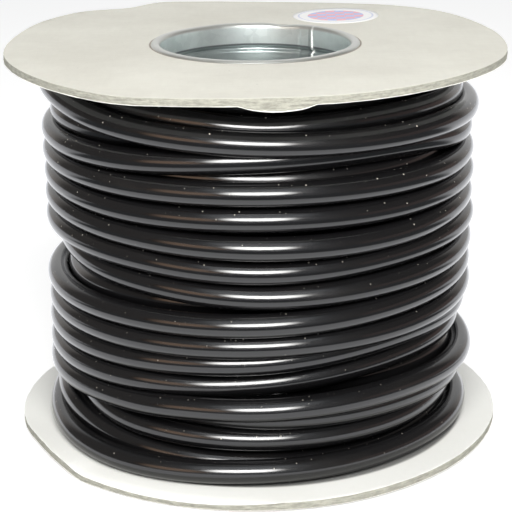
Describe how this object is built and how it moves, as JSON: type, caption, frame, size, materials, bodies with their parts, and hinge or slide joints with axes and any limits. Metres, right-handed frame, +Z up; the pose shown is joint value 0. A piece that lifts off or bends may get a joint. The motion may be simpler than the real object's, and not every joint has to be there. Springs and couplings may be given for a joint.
{
  "type": "wire spool",
  "caption": "Wire spool: paper-faced board flanges clamped on a rolled steel barrel, level-wound with thick black cable, with a plain spindle bore.",
  "frame": {"origin": "bottom centre, on the plane under the lower lip of the barrel that the reel rests on", "axes": "+Z up along the spool axis, towards the flange with the label; +Y towards the back, where the turns step over; -Y towards the viewer"},
  "size_m": [0.2, 0.2, 0.1584],
  "materials": {
    "zinc_sheet": "satin",
    "grey_board": "matte",
    "facing_paper": "matte",
    "liner_paper": "matte",
    "cable_sheath": "gloss",
    "copper": "satin",
    "label_paper": "satin"
  },
  "bodies": {
    "root": {"barrel": "zinc_sheet", "core_tube": "grey_board", "upper_flange_board": "grey_board", "upper_flange_facing": "facing_paper", "upper_flange_liner": "liner_paper", "lower_flange_board": "grey_board", "lower_flange_facing": "facing_paper", "lower_flange_liner": "liner_paper", "inner_windings": "cable_sheath", "outer_winding": "cable_sheath", "cable_end_sheath": "cable_sheath", "copper_strands": "copper", "round_label": "label_paper"}
  },
  "joints": []
}
